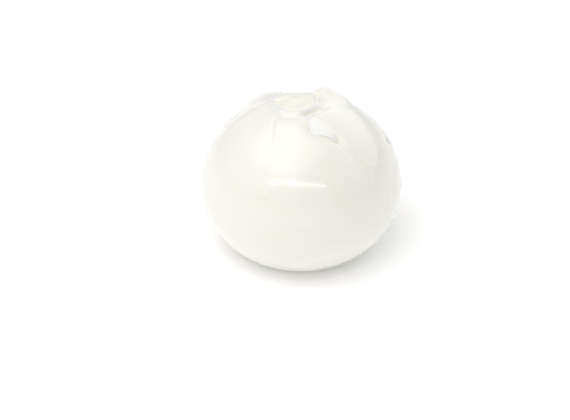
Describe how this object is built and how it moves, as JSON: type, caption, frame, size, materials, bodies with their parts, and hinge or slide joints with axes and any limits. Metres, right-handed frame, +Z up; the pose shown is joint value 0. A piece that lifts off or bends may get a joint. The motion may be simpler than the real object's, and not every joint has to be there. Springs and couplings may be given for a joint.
{
  "type": "burrata",
  "caption": "Burrata cheese: a soft white mozzarella pouch, gathered in folds around a small open mouth on top in which its cream filling shows, resting on a flattened foot.",
  "frame": {"origin": "the centre of the flattened foot, on the surface that the cheese rests on", "axes": "+Z is up, through the gathered top; the pleat and its pocket face -Y, swinging towards +X; the mouth's pointed corner is towards -X"},
  "size_m": [0.08, 0.08, 0.0643],
  "materials": {
    "mozzarella_skin": "satin",
    "cream": "satin"
  },
  "bodies": {
    "root": {"pouch": "mozzarella_skin", "cream_filling": "cream"}
  },
  "joints": []
}
